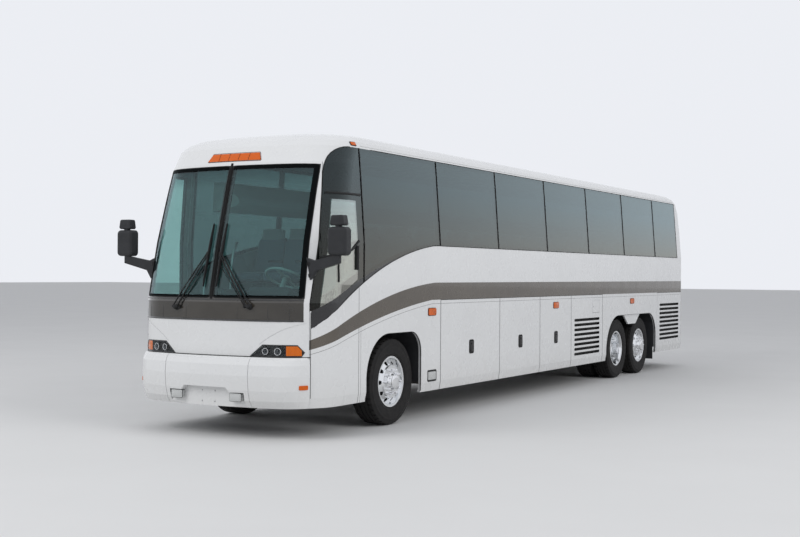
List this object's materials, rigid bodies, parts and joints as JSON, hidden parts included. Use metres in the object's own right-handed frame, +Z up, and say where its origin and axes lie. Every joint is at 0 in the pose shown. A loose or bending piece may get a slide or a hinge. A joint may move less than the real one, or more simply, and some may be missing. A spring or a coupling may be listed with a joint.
{
  "type": "highway coach bus",
  "caption": "Three-axle touring coach with steered front wheels, dual drive wheels, luggage doors and an entrance door",
  "frame": {"origin": "on the ground at the middle of the coach's length and width", "axes": "+Z up, +Y towards the rear, so the coach faces -Y; +X towards the driver's side"},
  "size_m": [3.258, 13.8598, 3.48],
  "materials": {
    "body_white": "gloss white paint",
    "trim_black": "gloss black",
    "dark_plastic": "grained",
    "tinted_glass": "dark green tint",
    "lamp_clear": "clear lens",
    "lamp_amber": "amber lens",
    "lamp_red": "red lens",
    "frame_paint": "satin dark grey",
    "floor_paint": "satin grey",
    "iron": "painted iron",
    "alloy": "polished",
    "tyre": "rubber",
    "seat_cloth": "woven",
    "wiper_steel": "satin black"
  },
  "bodies": {
    "coach_body": {"axles": "iron", "cabin_floor": "floor_paint", "dashboard": "dark_plastic", "engine": "iron", "entrance_steps": "floor_paint", "floor_rails": "floor_paint", "front_bumper": "body_white", "front_cap": "body_white", "front_mask": "body_white", "headlamps": "lamp_clear", "luggage_floor": "frame_paint", "marker_lamps": "lamp_amber", "mirrors": "dark_plastic", "rear_bumper": "body_white", "rear_cap": "body_white", "rear_panel": "body_white", "rear_window": "tinted_glass", "roof": "body_white", "roof_coves": "body_white", "seats": "seat_cloth", "side_walls": "body_white", "side_windows": "tinted_glass", "skirt_panels": "body_white", "small_lamps": "lamp_clear", "tail_lamps": "lamp_red", "underframe": "frame_paint", "wheel_housings": "dark_plastic", "windscreen": "tinted_glass", "wiper_panel": "trim_black", "wipers": "wiper_steel"},
    "left_steering_knuckle": {"left_knuckle": "iron"},
    "left_front_roller": {"left_front_tyre": "tyre", "left_front_wheel": "alloy"},
    "left_drive_roller": {"left_drive_tyre": "tyre", "left_drive_wheel": "alloy"},
    "left_tag_roller": {"left_tag_tyre": "tyre", "left_tag_wheel": "alloy"},
    "left_bay_door_1_leaf": {"left_bay_door_1": "body_white"},
    "left_bay_door_2_leaf": {"left_bay_door_2": "body_white"},
    "left_bay_door_3_leaf": {"left_bay_door_3": "body_white"},
    "right_steering_knuckle": {"right_knuckle": "iron"},
    "right_front_roller": {"right_front_tyre": "tyre", "right_front_wheel": "alloy"},
    "right_drive_roller": {"right_drive_tyre": "tyre", "right_drive_wheel": "alloy"},
    "right_tag_roller": {"right_tag_tyre": "tyre", "right_tag_wheel": "alloy"},
    "right_bay_door_1_leaf": {"right_bay_door_1": "body_white"},
    "right_bay_door_2_leaf": {"right_bay_door_2": "body_white"},
    "right_bay_door_3_leaf": {"right_bay_door_3": "body_white"},
    "condenser_door_leaf": {"condenser_door": "body_white"},
    "battery_door_leaf": {"battery_door": "body_white"},
    "radiator_door_leaf": {"radiator_door": "body_white"},
    "engine_side_door_leaf": {"engine_side_door": "body_white"},
    "entrance_door_leaf": {"entrance_door": "body_white", "entrance_glass": "tinted_glass"},
    "engine_door_leaf": {"engine_door": "body_white"},
    "front_hatch_lid": {"front_hatch": "body_white"},
    "rear_hatch_lid": {"rear_hatch": "body_white"}
  },
  "joints": [
    {"name": "left_steer", "type": "hinge", "parent": "coach_body", "child": "left_steering_knuckle", "pos_m": [0.96, -4.845, 0.525], "axis": [0, 0, 1], "range_deg": [-38, 38]},
    {"name": "left_front_roll", "type": "hinge", "parent": "left_steering_knuckle", "child": "left_front_roller", "pos_m": [1.07, -4.845, 0.525], "axis": [1, 0, 0], "continuous": true},
    {"name": "left_drive_roll", "type": "hinge", "parent": "coach_body", "child": "left_drive_roller", "pos_m": [1.07, 3.155, 0.525], "axis": [1, 0, 0], "continuous": true},
    {"name": "left_tag_roll", "type": "hinge", "parent": "coach_body", "child": "left_tag_roller", "pos_m": [1.07, 4.375, 0.525], "axis": [1, 0, 0], "continuous": true},
    {"name": "left_bay_door_1_swing", "type": "hinge", "parent": "coach_body", "child": "left_bay_door_1_leaf", "pos_m": [1.295, -2.85, 1.494], "axis": [0, -1, 0], "range_deg": [0, 95]},
    {"name": "left_bay_door_2_swing", "type": "hinge", "parent": "coach_body", "child": "left_bay_door_2_leaf", "pos_m": [1.295, -1.235, 1.494], "axis": [0, -1, 0], "range_deg": [0, 95]},
    {"name": "left_bay_door_3_swing", "type": "hinge", "parent": "coach_body", "child": "left_bay_door_3_leaf", "pos_m": [1.295, 0.12, 1.494], "axis": [0, -1, 0], "range_deg": [0, 95]},
    {"name": "right_steer", "type": "hinge", "parent": "coach_body", "child": "right_steering_knuckle", "pos_m": [-0.96, -4.845, 0.525], "axis": [0, 0, 1], "range_deg": [-38, 38]},
    {"name": "right_front_roll", "type": "hinge", "parent": "right_steering_knuckle", "child": "right_front_roller", "pos_m": [-1.07, -4.845, 0.525], "axis": [1, 0, 0], "continuous": true},
    {"name": "right_drive_roll", "type": "hinge", "parent": "coach_body", "child": "right_drive_roller", "pos_m": [-1.07, 3.155, 0.525], "axis": [1, 0, 0], "continuous": true},
    {"name": "right_tag_roll", "type": "hinge", "parent": "coach_body", "child": "right_tag_roller", "pos_m": [-1.07, 4.375, 0.525], "axis": [1, 0, 0], "continuous": true},
    {"name": "right_bay_door_1_swing", "type": "hinge", "parent": "coach_body", "child": "right_bay_door_1_leaf", "pos_m": [-1.295, -2.85, 1.494], "axis": [0, 1, 0], "range_deg": [0, 95]},
    {"name": "right_bay_door_2_swing", "type": "hinge", "parent": "coach_body", "child": "right_bay_door_2_leaf", "pos_m": [-1.295, -1.235, 1.494], "axis": [0, 1, 0], "range_deg": [0, 95]},
    {"name": "right_bay_door_3_swing", "type": "hinge", "parent": "coach_body", "child": "right_bay_door_3_leaf", "pos_m": [-1.295, 0.12, 1.494], "axis": [0, 1, 0], "range_deg": [0, 95]},
    {"name": "condenser_door_swing", "type": "hinge", "parent": "coach_body", "child": "condenser_door_leaf", "pos_m": [1.295, 2.192, 0.925], "axis": [0, 0, 1], "range_deg": [0, 100]},
    {"name": "battery_door_swing", "type": "hinge", "parent": "coach_body", "child": "battery_door_leaf", "pos_m": [-1.295, 2.192, 0.925], "axis": [0, 0, -1], "range_deg": [0, 100]},
    {"name": "radiator_door_swing", "type": "hinge", "parent": "coach_body", "child": "radiator_door_leaf", "pos_m": [1.295, 5.208, 0.925], "axis": [0, 0, -1], "range_deg": [0, 100]},
    {"name": "engine_side_door_swing", "type": "hinge", "parent": "coach_body", "child": "engine_side_door_leaf", "pos_m": [-1.295, 5.208, 0.925], "axis": [0, 0, 1], "range_deg": [0, 100]},
    {"name": "entrance_door_swing", "type": "hinge", "parent": "coach_body", "child": "entrance_door_leaf", "pos_m": [-1.4, -6.533, 1.7], "axis": [0, 0, 1], "range_deg": [0, 80]},
    {"name": "engine_door_swing", "type": "hinge", "parent": "coach_body", "child": "engine_door_leaf", "pos_m": [0, 6.91, 1.494], "axis": [1, 0, 0], "range_deg": [0, 85]},
    {"name": "front_hatch_lift", "type": "hinge", "parent": "coach_body", "child": "front_hatch_lid", "pos_m": [0, -2.894, 3.48], "axis": [1, 0, 0], "range_deg": [0, 60]},
    {"name": "rear_hatch_lift", "type": "hinge", "parent": "coach_body", "child": "rear_hatch_lid", "pos_m": [0, 2.906, 3.48], "axis": [1, 0, 0], "range_deg": [0, 60]}
  ],
  "couplings": [
    {"joint": "right_steer", "follows": "left_steer", "ratio": 1}
  ]
}
